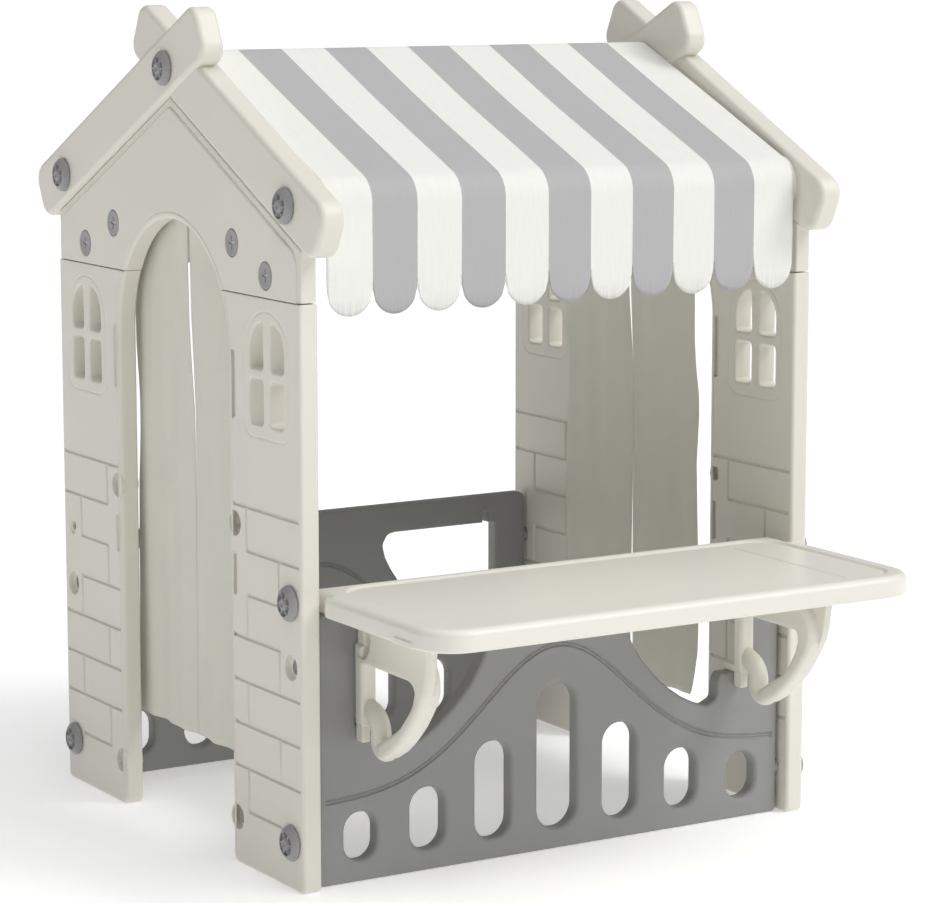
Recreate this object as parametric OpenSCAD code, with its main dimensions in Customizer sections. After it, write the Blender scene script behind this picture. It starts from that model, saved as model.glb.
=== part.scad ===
// Children's plastic playhouse with a serving counter, a striped awning and curtained doorways.
// X runs along the ridge, the serving side faces -Y and Z is up.
// The origin is on the floor, under the centre of the whole outline.

/* [Part to show] */
// One piece by its name, or all of them

/* [End walls] */
// Length of the house over its two end walls
house_len = 914; // [760:1:1100]
// Width of an end wall from front to back
house_depth = 824; // [720:1:960]
// Thickness of an end wall
wall_t = 32; // [20:1:50]
// Height of the joint between columns and gable
seam_z = 872; // [830:1:900]
// Clear width of each doorway
door_w = 376; // [300:1:440]
// Height at which the doorway arch springs
door_spring_z = 778; // [700:1:820]
// Depth of the brick joints
brick_groove_d = 3.5; // [1:0.1:5]
// Width of the brick joints
brick_groove_w = 6; // [3:0.5:10]
/* [Roof boards] */
// Slope of the roof boards in degrees
pitch = 26; // [20:0.5:35]
// Width of a roof board
board_w = 90; // [60:1:120]
// Thickness of a roof board
board_t = 40; // [28:1:50]
// Height of the board centrelines where they cross
board_cross_z = 1201; // [1100:1:1300]
// Length of a board beyond the crossing
board_tail = 127; // [90:1:160]
// Length of a board from the crossing to the eaves
board_run = 525; // [460:1:580]

/* [Poles and awning] */
// Height of the ridge pole axis
ridge_z = 1195; // [1150:1:1230]
// Radius of the ridge pole
ridge_r = 24; // [16:0.5:30]
// Distance of an eave rail axis from the middle of the house
eave_y = 374; // [330:1:400]
// Height of the eave rail axes
eave_z = 1011; // [960:1:1050]
// Radius of the eave rails
eave_r = 43; // [20:0.5:50]
// Thickness of the awning cloth
cloth_t = 1.6; // [0.8:0.1:4]
// Length of the awning along the ridge
awning_len = 830; // [700:1:832]
// Number of stripes and scallops
stripes = 11; // [5:2:19]
// Height of the scallop tips
scallop_z = 851; // [780:1:900]

/* [Front and back panels] */
// Height of a panel
panel_h = 414; // [300:1:500]
// Thickness of a panel
panel_t = 28; // [18:1:40]
// Length of a panel
panel_len = 838; // [700:1:846]
// Distance of the panel's outer face from the middle of the house
panel_face_y = 392; // [360:1:405]
// Depth of the wave line pressed into both faces
wave_d = 3; // [1:0.5:6]
// Width of the wave line
wave_w = 9; // [4:0.5:14]

/* [Counter] */
// Length of the counter
counter_len = 854; // [700:1:880]
// Distance of the counter's front edge from the middle of the house
counter_front_y = 742; // [600:1:800]
// Height of the counter's top
counter_z = 448; // [400:1:500]
// Thickness of the counter
counter_t = 33; // [20:1:40]
// Depth of the tray pressed into the counter
tray_d = 2.5; // [1:0.5:6]
// Distance of each bracket from the middle of the counter
bracket_x = 344; // [300:1:380]
// Thickness of a bracket arm
arm_t = 34; // [20:1:40]

/* [Knobs and screws] */
// Radius of a hand knob
knob_r = 27; // [20:1:34]
// Height of a hand knob
knob_h = 15; // [13:1:28]
// Radius of a knob bolt
bolt_r = 6; // [4:0.5:8]
// Radius of a gable screw head
screw_head_r = 20.5; // [12:0.5:24]

/* [Curtains] */
// Height of the curtain rod axis
rod_z = 990; // [980:1:1010]
// Radius of the curtain rod
rod_r = 8; // [5:0.5:10]
// Distance of the rod axis from the inner wall face
rod_gap = 13; // [12:0.5:30]
// Height of the curtain hems
hem_z = 147; // [80:1:300]
// Width of one curtain at its top
curtain_w = 193; // [150:1:200]
// How far the curtains hang from the doorway's middle towards the back
hang_shift = 28; // [-30:1:30]

/* [Hidden] */
$fn = 64;
clear = 0.3;                                  // gap between pieces that touch on curved faces
end_x = house_len / 2;                        // outer face of an end wall
in_x = end_x - wall_t;                        // inner face of an end wall
half_depth = house_depth / 2;
door_r = door_w / 2;
arch_seam_y = sqrt(door_r * door_r - pow(seam_z - door_spring_z, 2));
board_out_x = end_x + 6;                      // outer face of the overlapping board
board_half_z = board_w / 2 / cos(pitch);
board_low_z = board_cross_z - board_half_z;   // lower board edge at the ridge
eave_corner_r = 30;
tail_corner_r = 25;
lap_x = board_out_x - 23;                     // plane where the crossing boards meet
board_tip_y = (board_run - eave_corner_r) * cos(pitch)
    + (board_w / 2 - eave_corner_r) * sin(pitch) + eave_corner_r;
house_y = (counter_front_y - board_tip_y) / 2;
panel_mid_y = panel_face_y - panel_t / 2;
lower_bolt_z = 72;
upper_bolt_z = 431.5;
peg_z = 336;
rod_x = in_x - rod_gap;
tongue_t = 12;                                // thickness of hidden tongues
eave_inner_r = eave_r + 1;                    // cloth radii over the rails and the pole
ridge_inner_r = ridge_r + 0.6;
slope_len = norm([eave_y, ridge_z - eave_z]);
awning_pitch = atan((ridge_z - eave_z) / eave_y) - asin((eave_inner_r - ridge_inner_r) / slope_len);
cloth_y = eave_y + eave_inner_r;
stripe_w = awning_len / stripes;
LEFT = -1;
RIGHT = 1;
FRONT = -1;
BACK = 1;

cream = [0.88, 0.86, 0.80];
grey = [0.56, 0.56, 0.55];
knob_grey = [0.53, 0.55, 0.57];
steel = [0.70, 0.71, 0.72];
cloth_white = [0.93, 0.93, 0.90];
cloth_cream = [0.80, 0.80, 0.75];

// ---- placing ----

// The left end is drawn and the right end is the same turned half way round.
module at_end(end) {
    translate([0, house_y, 0]) rotate([0, 0, end == LEFT ? 0 : 180]) children();
}

// A flat drawing (distance from the middle, height) becomes a plate from x0 with thickness t.
module wall_plate(x0, t) {
    translate([x0, 0, 0]) rotate([90, 0, 90]) linear_extrude(t) children();
}

// A flat drawing (along the house, height) becomes a plate whose outer face is at y.
module panel_plate(y, t) {
    translate([0, y + t, 0]) rotate([90, 0, 0]) linear_extrude(t) children();
}

// A cylinder along X between x0 and x1.
module rod_x_axis(x0, x1, r, y, z) {
    translate([x0, y, z]) rotate([0, 90, 0]) cylinder(r = r, h = x1 - x0);
}

module round_rect(w, h, r) {
    translate([r, 0]) square([w - 2 * r, h]);
    translate([0, r]) square([w, h - 2 * r]);
    for (x = [r, w - r], y = [r, h - r]) translate([x, y]) circle(r);
}

// ---- end wall columns ----

module column_outline() {
    difference() {
        translate([0, 0]) square([half_depth, seam_z]);
        translate([-1, -1]) square([door_r + 1, door_spring_z + 1]);
        translate([0, door_spring_z]) circle(door_r, $fn = 128);
    }
}

brick_row_z = 66.7;                           // height of one brick course
brick_top_z = 555;
brick_rows = [[200, 410], [242, 410], [243, 345], [198, 345],
              [200, 410], [200, 410], [200, 410], [241, 346]];
brick_joints = [242, 343, 242, 344, 243, 344, 242];

module brick_lines() {
    for (k = [0 : len(brick_rows) - 1])
        translate([brick_rows[k][0], brick_top_z - k * brick_row_z - brick_groove_w / 2])
            square([brick_rows[k][1] - brick_rows[k][0], brick_groove_w]);
    for (k = [0 : len(brick_joints) - 1])
        translate([brick_joints[k] - brick_groove_w / 2, brick_top_z - (k + 1) * brick_row_z])
            square([brick_groove_w, brick_row_z]);
}

pane_y = [257, 321];                          // inner edges of the two columns of panes
pane_w = 43;
pane_low_z = 683;
pane_up_z = 765;

module pane_top(y0, mullion_y) {
    intersection() {
        translate([y0, pane_up_z]) square([pane_w, 71]);
        union() {
            translate([y0, pane_up_z]) square([pane_w, 28]);
            translate([mullion_y, pane_up_z + 28]) circle(pane_w);
        }
    }
}

module window_panes() {
    for (y = pane_y) translate([y, pane_low_z]) round_rect(pane_w, 68, 8);
    pane_top(pane_y[0], pane_y[0] + pane_w);
    pane_top(pane_y[1], pane_y[1]);
}

side_slots = [[416, 63], [684, 102]];         // lower end and length of each upright slot
side_slot_w = 14;
side_y = 203;

module slot_shapes() {
    for (s = side_slots)
        translate([side_y - side_slot_w / 2, s[0]]) round_rect(side_slot_w, s[1], 6.9);
    translate([388, 682]) square([4, 24]);
}

socket_r = 19;
socket_d = 9;
sockets = [[204, 525], [panel_mid_y, peg_z], [204, lower_bolt_z]];

module column_tongue() {
    translate([182, seam_z - 1]) square([158, 97]);
}

module column(side, upper_bolt) {
    mirror([0, side == FRONT ? 1 : 0, 0])
    difference() {
        union() {
            wall_plate(-end_x, wall_t) column_outline();
            wall_plate(-end_x + 10, tongue_t) column_tongue();
        }
        for (x0 = [-end_x - 1, -in_x - brick_groove_d])
            wall_plate(x0, brick_groove_d + 1) { brick_lines(); slot_shapes(); }
        wall_plate(-end_x - 1, wall_t + 2) window_panes();
        for (s = sockets) {
            rod_x_axis(-end_x - 1, -end_x + socket_d, socket_r, s[0], s[1]);
            rod_x_axis(-end_x - 1, -in_x + 1, 12, s[0], s[1]);
        }
        for (z = [lower_bolt_z, upper_bolt_z])
            rod_x_axis(-end_x - 1, -in_x + 1, bolt_r + clear, panel_mid_y, z);
        for (s = gable_screw_at) rod_x_axis(-end_x, -in_x, 6, s[0], s[1]);
    }
}

// ---- gables ----

gable_screw_at = [[309, 905], [204, 945]];
rebate = 11;                                  // width of the stepped rim under the boards
rebate_d = 3;

function slope_z(y, drop) = board_low_z - drop - tan(pitch) * abs(y);

// Points that round a corner at (y, z) by r; the corner opens by 2 * half towards aim.
function eased(y, z, aim, half, r, steps = 6) = [
    for (k = [0 : steps]) let (a = aim + 180 + (90 - half) * (2 * k / steps - 1))
        [y + r * (cos(aim) / sin(half) + cos(a)), z + r * (sin(aim) / sin(half) + sin(a))]
];

// Plate bounded by the slopes, lowered by drop and narrowed by inset.
module gable_outline(drop, inset, eave_r, peak_r) {
    w = half_depth - inset;
    half = 45 + pitch / 2;
    difference() {
        polygon(concat([[-w, seam_z], [w, seam_z]],
                       eased(w, slope_z(w, drop), 180 + half - pitch, half, eave_r),
                       eased(0, slope_z(0, drop), -90, 90 - pitch, peak_r),
                       eased(-w, slope_z(w, drop), pitch - half, half, eave_r)));
        translate([0, door_spring_z]) circle(door_r, $fn = 128);
    }
}

// Strip above each slope that enters the groove of a roof board.
module board_tongue(grow) {
    for (s = [-1, 1])
        translate([0, board_low_z]) rotate(-s * pitch) mirror([s < 0 ? 1 : 0, 0])
            translate([70 - grow, -1]) square([362 + 2 * grow, 19 + grow]);
}

module gable(end) {
    at_end(end) difference() {
        union() {
            wall_plate(-end_x + rebate_d, wall_t - 2 * rebate_d) gable_outline(0.3, 0, 4, 4);
            wall_plate(-end_x, wall_t) gable_outline(rebate / cos(pitch), rebate, 28, 20);
            wall_plate(-lap_x - 4, tongue_t) board_tongue(0);
        }
        for (m = [0, 1]) mirror([0, m, 0]) {
            wall_plate(-end_x + 9.5, tongue_t + 1) translate([181.5, seam_z - 1]) square([159, 98]);
            for (s = gable_screw_at) {
                rod_x_axis(-end_x - 1, -end_x + 5, screw_head_r + clear, s[0], s[1]);
                rod_x_axis(-end_x, -end_x + 26, 6.3, s[0], s[1]);
            }
        }
        for (y = holder_y) rod_x_axis(-in_x - 8, -in_x + 1, 5, y + hang_y(end), rod_z);
    }
}

// ---- roof boards ----

module board_strip() {
    x0 = -board_tail;
    h = board_w / 2;
    difference() {
        translate([x0, -h]) square([board_tail + board_run, board_w]);
        for (s = [-1, 1]) {
            corner_cut(x0, s * h, 1, -s, tail_corner_r);
            corner_cut(board_run, s * h, -1, -s, eave_corner_r);
        }
    }
}

// Removes a square corner at (x, y) down to a radius; sx and sy point into the board.
module corner_cut(x, y, sx, sy, r) {
    translate([x, y]) mirror([sx < 0 ? 1 : 0, 0]) mirror([0, sy < 0 ? 1 : 0])
        difference() {
            translate([-1, -1]) square(r + 1);
            translate([r, r]) circle(r);
        }
}

// Board drawing turned to the roof slope; it runs down towards side.
module sloped_board(side) {
    translate([0, board_cross_z]) mirror([side == FRONT ? 1 : 0, 0]) rotate(-pitch) children();
}

// The outer board of each end lies towards the back on the left end.
module roof_board(end, side) {
    outer = side == BACK;
    x0 = outer ? -board_out_x : -board_out_x + 6;
    at_end(end) difference() {
        wall_plate(x0, board_t) sloped_board(side) board_strip();
        wall_plate(outer ? -lap_x : -board_out_x - 1, outer ? 40 : board_out_x + 1 - lap_x)
            sloped_board(-side) translate([-board_tail - 1, -board_w / 2])
                square([board_tail + 200, board_w]);
        wall_plate(-lap_x - 4.5, tongue_t + 1) board_tongue(1);
        rod_x_axis(-board_out_x - 1, -in_x + 20, bolt_r + clear, 0, ridge_z);
        rod_x_axis(-board_out_x - 1, -in_x + 20, bolt_r + clear, side * eave_y, eave_z);
    }
}

// ---- poles under the awning ----

plug_len = 45;

module pole(r, wall, x0, x1, y, z) {
    translate([0, house_y, 0]) difference() {
        rod_x_axis(x0, x1, r, y, z);
        rod_x_axis(x0 - 1, x1 + 1, r - wall, y, z);
    }
}

near_x = board_out_x + 6 - board_t - 12;      // inner face of the inner board
far_x = board_out_x - board_t;                // inner face of the outer board

module plug(side_x, face_x, r, y, z) {
    mirror([side_x < 0 ? 1 : 0, 0, 0]) difference() {
        rod_x_axis(face_x - plug_len, face_x, r - clear, y, z);
        rod_x_axis(face_x - plug_len + 10, face_x + 1, bolt_r + clear, y, z);
    }
}

module ridge_pole() { color(steel) pole(ridge_r, 2, -near_x, near_x, 0, ridge_z); }
module eave_rail_front() { color(cream) pole(eave_r, 3, -near_x, far_x, -eave_y, eave_z); }
module eave_rail_back() { color(cream) pole(eave_r, 3, -far_x, near_x, eave_y, eave_z); }
module pole_end_plugs() {
    color(cream) translate([0, house_y, 0]) {
        for (s = [LEFT, RIGHT]) {
            plug(s, near_x, ridge_r - 2, 0, ridge_z);
            plug(s, near_x, eave_r - 3, s * eave_y, eave_z);
            plug(s, far_x, eave_r - 3, -s * eave_y, eave_z);
        }
    }
}

// ---- front and back panels ----

vent_x = [0, 116, 232, 348];                  // slot centres from the middle outwards
vent_w = [71, 62, 59, 54];
vent_top_z = [262, 184, 128, 106];
vent_low_z = 32;

module vents() {
    for (k = [0 : 3], s = [-1, 1])
        if (k > 0 || s > 0)
            translate([s * vent_x[k] - vent_w[k] / 2, vent_low_z])
                round_rect(vent_w[k], vent_top_z[k] - vent_low_z, vent_w[k] / 2 - 0.01);
}

function wave_z(x) = 127 + 196 * exp(-pow(x / 185, 2));

module wave_line() {
    w = wave_w / 2;
    xs = [for (k = [-24 : 24]) k * panel_len / 2 / 24 * 0.985];
    polygon(concat([for (x = xs) [x, wave_z(x) - w]],
                   [for (k = [len(xs) - 1 : -1 : 0]) [xs[k], wave_z(xs[k]) + w]]));
}

// Opening beside the middle hump, with the ledge and the notch that hold a bracket.
dip = [[151, 365], [331, 365], [331, 386], [342, 386], [342, 365], [356, 365], [356, 240],
       [311, 240], [304, 234], [302, 212], [299, 201], [291, 194], [280, 191], [270, 193],
       [257, 199], [233, 211], [211, 226], [195, 239], [176, 257], [157, 279], [141, 303],
       [131, 323], [127, 337], [131, 352], [140, 361]];

module panel_outline() {
    difference() {
        translate([-panel_len / 2, 0]) square([panel_len, panel_h]);
        vents();
        for (m = [0, 1]) mirror([m, 0]) polygon(dip);
    }
}

module panel(side) {
    y0 = side == FRONT ? -panel_face_y : panel_face_y - panel_t;
    color(grey) translate([0, house_y, 0]) difference() {
        union() {
            panel_plate(y0, panel_t) panel_outline();
            for (s = [LEFT, RIGHT]) mirror([s < 0 ? 1 : 0, 0, 0]) {
                rod_x_axis(panel_len / 2 - 1, in_x, 13, side * panel_mid_y, lower_bolt_z);
                rod_x_axis(panel_len / 2 - 1, in_x + 22, 11.7, side * panel_mid_y, peg_z);
            }
        }
        for (y = [y0 - 1, y0 + panel_t - wave_d]) panel_plate(y, wave_d + 1) wave_line();
        for (s = [LEFT, RIGHT]) mirror([s < 0 ? 1 : 0, 0, 0])
            rod_x_axis(panel_len / 2 - 40, in_x + 1, 9 + clear, side * panel_mid_y, lower_bolt_z);
    }
}

// ---- counter ----

tongue_y = 424;                               // the counter narrows behind this line
tongue_x = 415;
counter_back_y = 366;
counter_corner_r = 64;
arm_peg_y = [455, 585];
arm_peg_r = 6;

module counter_outline() {
    hx = counter_len / 2;
    difference() {
        translate([-hx, -counter_front_y]) square([2 * hx, counter_front_y - tongue_y]);
        for (m = [0, 1]) mirror([m, 0])
            corner_cut(hx, -counter_front_y, -1, 1, counter_corner_r);
    }
    translate([-tongue_x, -tongue_y - 1]) square([2 * tongue_x, tongue_y - counter_back_y + 1]);
}

module counter_top() {
    low_z = counter_z - counter_t;
    color(cream) translate([0, house_y, 0]) difference() {
        union() {
            translate([0, 0, low_z]) linear_extrude(counter_t) counter_outline();
            for (s = [LEFT, RIGHT]) mirror([s < 0 ? 1 : 0, 0, 0])
                rod_x_axis(tongue_x - 1, in_x, 13, -panel_mid_y, upper_bolt_z);
            translate([-counter_len / 2 - 3, -680, low_z]) cube([8, 52, 9]);
        }
        translate([-386, -718, counter_z - tray_d]) linear_extrude(tray_d + 1)
            round_rect(786, 333, 50);
        translate([308, -700, counter_z - tray_d - 1.5]) cube([6, 290, 4]);
        for (s = [LEFT, RIGHT]) mirror([s < 0 ? 1 : 0, 0, 0]) {
            rod_x_axis(tongue_x - 36, in_x + 1, 9 + clear, -panel_mid_y, upper_bolt_z);
            for (y = arm_peg_y)
                translate([bracket_x, -y, low_z - 1]) cylinder(r = arm_peg_r + clear, h = 14);
        }
    }
}

// ---- counter brackets ----

arm_ring = [[400, 250], [416, 249], [424, 243], [428, 232], [429, 216], [434, 205],
            [443, 199], [457, 198], [480, 207], [506, 221], [527, 237], [543, 252],
            [558, 267], [573, 286], [586, 304], [593, 321], [594, 338], [590, 355],
            [580, 369], [560, 380], [538, 389], [512, 398], [486, 407], [470, 415],
            [438, 415], [438, 375], [434, 362], [426, 352], [415, 347], [400, 346]];
arm_web = [[440, 400], [470, 380], [560, 350], [575, 310], [583, 303], [599, 327], [606, 352],
           [610, 378], [612, 415], [440, 415]];
arm_window = [[398, 337], [546, 336], [557, 333], [564, 327], [567, 319], [565, 310], [558, 301],
              [543, 284], [524, 264], [511, 255], [497, 247], [482, 239], [466, 230],
              [461, 240], [457, 252], [449, 262], [438, 268], [428, 272], [419, 277],
              [412, 284], [398, 285]];
web_t = 16;                                   // thickness of the web in the upper corner
inner_leg = [-15, 11];                        // sides of the leg that lies on the panel

function mirrored_y(points) = [for (p = points) [-p[0], p[1]]];

module bracket(side) {
    leg_w = inner_leg[1] - inner_leg[0];
    color(cream) translate([side * bracket_x, house_y, 0]) {
        difference() {
            union() {
                wall_plate(-arm_t / 2, arm_t) polygon(mirrored_y(arm_ring));
                wall_plate(side > 0 ? arm_t / 2 - web_t : -arm_t / 2, web_t)
                    polygon(mirrored_y(arm_web));
            }
            wall_plate(-arm_t / 2 - 1, arm_t + 2) polygon(mirrored_y(arm_window));
        }
        translate([inner_leg[0], -415, 242]) cube([leg_w, 415 - panel_face_y, 123]);
        translate([inner_leg[0] + 5, -415, 364]) cube([leg_w - 10, 22, 51]);
        translate([inner_leg[0] + 2, -413, 217]) cube([14, 413 - panel_face_y, 26]);
        mirror([side > 0 ? 0 : 1, 0, 0]) {
            translate([-14, -panel_face_y - 1, 240]) cube([24, panel_t, 12]);
            translate([-12.5, -panel_face_y - 1, 340]) cube([10, panel_t, 45]);
        }
        for (y = arm_peg_y) translate([0, -y, 414]) cylinder(r = arm_peg_r, h = 12);
    }
}

// ---- knobs, bolts and screws ----

wall_knob_at = [[-1, lower_bolt_z], [-1, upper_bolt_z], [1, lower_bolt_z]];
knob_rim_h = 5;                               // height of the knob's upright rim
knob_face_r = 19;                             // radius of its flat face, above the sloping part
knob_hub_r = 8.5;
dimple_r = 3.6;

// Round hand knob standing on the face at x, with six dimples round its centre button.
module knob(x, y, z) {
    face_h = knob_h - 3;
    translate([x, y, z]) rotate([0, -90, 0]) difference() {
        union() {
            cylinder(r = knob_r, h = knob_rim_h);
            translate([0, 0, knob_rim_h])
                cylinder(r1 = knob_r, r2 = knob_face_r, h = face_h - knob_rim_h);
            cylinder(r = knob_hub_r, h = knob_h);
        }
        translate([0, 0, -1]) cylinder(r = bolt_r + clear, h = 12);
        for (a = [0 : 60 : 300]) rotate(a)
            translate([(knob_hub_r + knob_face_r) / 2, 0, face_h - 5])
                cylinder(r = dimple_r, h = 10);
    }
}

module bolt(x, y, z, reach) {
    rod_x_axis(x - 10.5, x + reach, bolt_r, y, z);
}

// The left end's front column has two knobs and its back column one; the right end mirrors it.
module wall_knobs(end) {
    color(knob_grey) translate([0, house_y, 0]) mirror([end == LEFT ? 0 : 1, 0, 0])
        for (k = wall_knob_at) knob(-end_x, k[0] * panel_mid_y, k[1]);
}

module roof_knobs(end) {
    color(knob_grey) at_end(end) {
        knob(-board_out_x, 0, ridge_z);
        knob(-board_out_x, eave_y, eave_z);
        knob(-board_out_x + 6, -eave_y, eave_z);
    }
}

module knob_bolts(end) {
    color(steel) {
        translate([0, house_y, 0]) mirror([end == LEFT ? 0 : 1, 0, 0])
            for (k = wall_knob_at) bolt(-end_x, k[0] * panel_mid_y, k[1], 60);
        at_end(end) {
            bolt(-board_out_x, 0, ridge_z, 75);
            bolt(-board_out_x, eave_y, eave_z, 70);
            bolt(-board_out_x + 6, -eave_y, eave_z, 70);
        }
    }
}

module thread_inserts() {
    color(steel) translate([0, house_y, 0])
        for (s = [LEFT, RIGHT]) mirror([s < 0 ? 1 : 0, 0, 0])
            for (k = wall_knob_at) difference() {
                rod_x_axis(in_x - 42, in_x - 4, 9, k[0] * panel_mid_y, k[1]);
                rod_x_axis(in_x - 43, in_x, bolt_r + clear, k[0] * panel_mid_y, k[1]);
            }
}

module gable_screws(end) {
    color(knob_grey) at_end(end)
        for (m = [0, 1], s = gable_screw_at) mirror([0, m, 0]) {
            difference() {
                rod_x_axis(-end_x, -end_x + 5, screw_head_r, s[0], s[1]);
                for (a = [45, 135]) translate([-end_x - 1, s[0], s[1]]) rotate([a, 0, 0])
                    translate([0, -11, -2]) cube([3.5, 22, 4]);
            }
            rod_x_axis(-end_x + 4, -end_x + 25, 5.7, s[0], s[1]);
        }
}

// ---- curtains ----

sleeve_r = rod_r + 2.4;
curtain_t = 4;

holder_y = [-205, 205];                       // the holders' places from the middle of the rod
rod_half = 215;

// The middle of the rod as drawn for the left end; the half turn swaps its sign for the right.
function hang_y(end) = -end * hang_shift;

module curtain_rod(end) {
    color(steel) at_end(end) translate([-rod_x, hang_y(end) + rod_half, rod_z])
        rotate([90, 0, 0]) cylinder(r = rod_r, h = 2 * rod_half);
}

module rod_holders(end) {
    color(cream) at_end(end) translate([0, hang_y(end), 0]) for (y = holder_y) difference() {
        union() {
            translate([-in_x, y - 4, rod_z - 14]) cube([rod_gap + 12, 8, 28]);
            rod_x_axis(-in_x - 7, -in_x + 1, 4.7, y, rod_z);
        }
        translate([-rod_x, y + 5, rod_z]) rotate([90, 0, 0]) cylinder(r = rod_r + clear, h = 10);
    }
}

// Where the two halves part: drift towards the back and height, from the sleeve to the hem.
parting = [[0, 980], [0, 900], [-2, 805], [-7, 743], [-14, 666], [-15, 600], [-12, 400],
           [-10, hem_z]];
// Outer edges (distance from the rod's middle, height) from the hem up to the sleeve.
front_edge = [[188, hem_z], [192, 152], [201, 182], [211, 224], [212, 269], [209, 350],
              [204, 450], [201, 536], [204, 578], [207, 619], [206, 652], [199, 693],
              [194, 742], [193, 815], [193, 980]];
back_edge = [[190, hem_z], [192, 170], [191, 300], [190, 410], [187, 527], [179, 610],
             [179, 660], [187, 714], [192, 750], [194, 800], [193, 980]];
half_gap = 1.5;                               // half the space between the two halves

module curtain(end, side) {
    color(cloth_cream) at_end(end) translate([0, hang_y(end), 0])
        mirror([0, side * -end > 0 ? 0 : 1, 0]) {
            wall_plate(-rod_x - curtain_t / 2, curtain_t)
                polygon(concat([for (p = parting) [half_gap + side * p[0], p[1]]],
                               side == FRONT ? front_edge : back_edge));
            translate([-rod_x, curtain_w, rod_z]) rotate([90, 0, 0]) difference() {
                cylinder(r = sleeve_r, h = curtain_w - half_gap);
                translate([0, 0, -1]) cylinder(r = rod_r + 0.08, h = curtain_w + 2);
            }
        }
}

// ---- awning ----

// Cross section of one half: over the pole, down the slope and round the eave rail.
module awning_half() {
    a = 90 - awning_pitch;
    lap = 0.5;
    ring_sector(0, ridge_z, ridge_inner_r, a, 92);
    ring_sector(eave_y, eave_z, eave_inner_r, -1, a);
    translate([ridge_inner_r * cos(a), ridge_z + ridge_inner_r * sin(a)]) rotate(-awning_pitch)
        translate([-lap, 0])
            square([sqrt(pow(slope_len, 2) - pow(eave_inner_r - ridge_inner_r, 2)) + 2 * lap, cloth_t]);
}

module ring_sector(cx, cz, r, a0, a1) {
    far = 3 * r;
    translate([cx, cz]) intersection() {
        difference() {
            circle(r + cloth_t, $fn = 96);
            circle(r, $fn = 96);
        }
        polygon([[0, 0], far * [cos(a0), sin(a0)], far * [cos((a0 + a1) / 2), sin((a0 + a1) / 2)],
                 far * [cos(a1), sin(a1)]]);
    }
}

module valance() {
    r = stripe_w / 2 - 0.6;
    for (k = [0 : stripes - 1])
        translate([-awning_len / 2 + (k + 0.5) * stripe_w, scallop_z + r]) circle(r);
    for (k = [0 : stripes - 1])
        translate([-awning_len / 2 + k * stripe_w + 0.6, scallop_z + r])
            square([2 * r, 40]);
    translate([-awning_len / 2, scallop_z + r + 12])
        square([awning_len, eave_z - scallop_z - r - 12]);
}

module awning() {
    color(cloth_white) translate([0, house_y, 0])
        for (m = [0, 1]) mirror([0, m, 0]) {
            wall_plate(-awning_len / 2, awning_len) awning_half();
            panel_plate(cloth_y, cloth_t) valance();
        }
}

// ---- named pieces ----

module column_left_front() { color(cream) at_end(LEFT) column(FRONT, true); }
module column_left_back() { color(cream) at_end(LEFT) column(BACK, false); }
module column_right_front() { color(cream) at_end(RIGHT) column(BACK, true); }
module column_right_back() { color(cream) at_end(RIGHT) column(FRONT, false); }
module gable_left() { color(cream) gable(LEFT); }
module gable_right() { color(cream) gable(RIGHT); }
module roof_board_left_front() { color(cream) roof_board(LEFT, FRONT); }
module roof_board_left_back() { color(cream) roof_board(LEFT, BACK); }
module roof_board_right_front() { color(cream) roof_board(RIGHT, BACK); }
module roof_board_right_back() { color(cream) roof_board(RIGHT, FRONT); }
module panel_front() { panel(FRONT); }
module panel_back() { panel(BACK); }
module bracket_left() { bracket(LEFT); }
module bracket_right() { bracket(RIGHT); }
module wall_knobs_left() { wall_knobs(LEFT); }
module wall_knobs_right() { wall_knobs(RIGHT); }
module roof_knobs_left() { roof_knobs(LEFT); }
module roof_knobs_right() { roof_knobs(RIGHT); }
module knob_bolts_left() { knob_bolts(LEFT); }
module knob_bolts_right() { knob_bolts(RIGHT); }
module gable_screws_left() { gable_screws(LEFT); }
module gable_screws_right() { gable_screws(RIGHT); }
module curtain_rod_left() { curtain_rod(LEFT); }
module curtain_rod_right() { curtain_rod(RIGHT); }
module rod_holders_left() { rod_holders(LEFT); }
module rod_holders_right() { rod_holders(RIGHT); }
module curtain_left_front() { curtain(LEFT, FRONT); }
module curtain_left_back() { curtain(LEFT, BACK); }
module curtain_right_front() { curtain(RIGHT, FRONT); }
module curtain_right_back() { curtain(RIGHT, BACK); }

column_left_front();
column_left_back();
column_right_front();
column_right_back();
gable_left();
gable_right();
roof_board_left_front();
roof_board_left_back();
roof_board_right_front();
roof_board_right_back();
ridge_pole();
eave_rail_front();
eave_rail_back();
pole_end_plugs();
panel_front();
panel_back();
counter_top();
bracket_left();
bracket_right();
wall_knobs_left();
wall_knobs_right();
roof_knobs_left();
roof_knobs_right();
knob_bolts_left();
knob_bolts_right();
thread_inserts();
gable_screws_left();
gable_screws_right();
curtain_rod_left();
curtain_rod_right();
rod_holders_left();
rod_holders_right();
awning();
curtain_left_front();
curtain_left_back();
curtain_right_front();
curtain_right_back();
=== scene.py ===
import math

import bmesh
import bpy
import numpy as np
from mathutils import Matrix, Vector
from mathutils.geometry import delaunay_2d_cdt


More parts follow.
